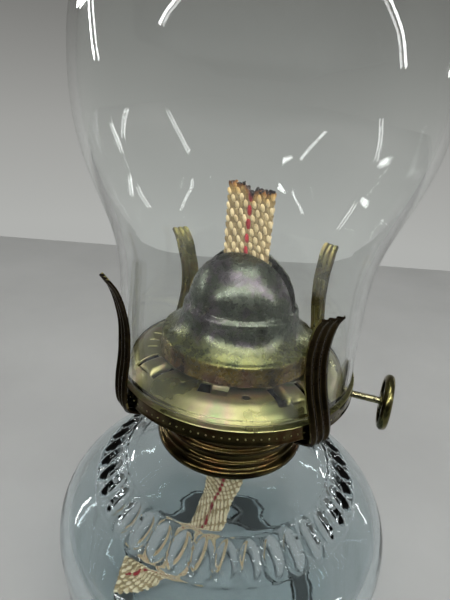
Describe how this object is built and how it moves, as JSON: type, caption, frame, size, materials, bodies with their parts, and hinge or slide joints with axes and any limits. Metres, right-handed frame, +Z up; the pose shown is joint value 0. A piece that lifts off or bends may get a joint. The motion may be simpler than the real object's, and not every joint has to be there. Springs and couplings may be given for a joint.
{
  "type": "kerosene lamp",
  "caption": "Kerosene table lamp: clear pressed-glass fount, screw-on flat-wick burner with a winding knob and spring prongs, and a tall clear glass chimney.",
  "frame": {"origin": "on the lamp's axis, where the foot stands on the table", "axes": "+Z up along the lamp's axis, +X along the winder's shaft towards the knob, -Y to the front of the lamp"},
  "size_m": [0.107, 0.1066, 0.321],
  "materials": {
    "fount_glass": "clear pressed glass, faintly blue",
    "chimney_glass": "clear blown glass",
    "chromate": "zinc plate with a yellow chromate film, glossy",
    "dark_chromate": "zinc plate with a brown chromate film",
    "heat_tinted": "plated sheet tinted grey and purple by heat",
    "plated_steel": "plated steel",
    "gasket": "matte",
    "cotton": "woven cotton, charred at its top"
  },
  "bodies": {
    "fount": {"fount_glass": "fount_glass", "wick_tail": "cotton"},
    "gasket": {"neck_gasket": "gasket"},
    "burner": {"screw_cap": "chromate", "burner_bowl": "dark_chromate", "gallery_plate": "chromate", "dome": "heat_tinted", "wick_tube": "plated_steel", "ratchet_box": "plated_steel", "shaft_bushing": "plated_steel", "vent_tube": "plated_steel", "prong_front_left": "dark_chromate", "prong_front_right": "dark_chromate", "prong_back_left": "dark_chromate", "prong_back_right": "dark_chromate", "rivet_front_left": "plated_steel", "rivet_front_right": "plated_steel", "rivet_back_left": "plated_steel", "rivet_back_right": "plated_steel"},
    "winder": {"winder_shaft": "plated_steel", "spur_outer": "plated_steel", "spur_inner": "plated_steel", "winder_knob": "chromate"},
    "wick": {"wick": "cotton"},
    "chimney": {"chimney": "chimney_glass"}
  },
  "joints": [
    {"name": "burner_lift", "type": "slide", "parent": "fount", "child": "gasket", "axis": [0, 0, 1], "range_m": [0, 0.075]},
    {"name": "burner_turn", "type": "hinge", "parent": "gasket", "child": "burner", "pos_m": [0, 0, 0.0889], "axis": [0, 0, 1], "range_deg": [0, 450]},
    {"name": "knob_turn", "type": "hinge", "parent": "burner", "child": "winder", "pos_m": [0, 0.00545, 0.09785], "axis": [-1, 0, 0], "range_deg": [-300, 109]},
    {"name": "wick_feed", "type": "slide", "parent": "burner", "child": "wick", "axis": [0, 0, 1], "range_m": [-0.022, 0.008], "deforming": ["wick_tail"]},
    {"name": "chimney_lift", "type": "slide", "parent": "burner", "child": "chimney", "axis": [0, 0, 1], "range_m": [0, 0.09]}
  ],
  "couplings": [
    {"joint": "wick_feed", "follows": "knob_turn", "m_per_rad": 0.0042}
  ]
}
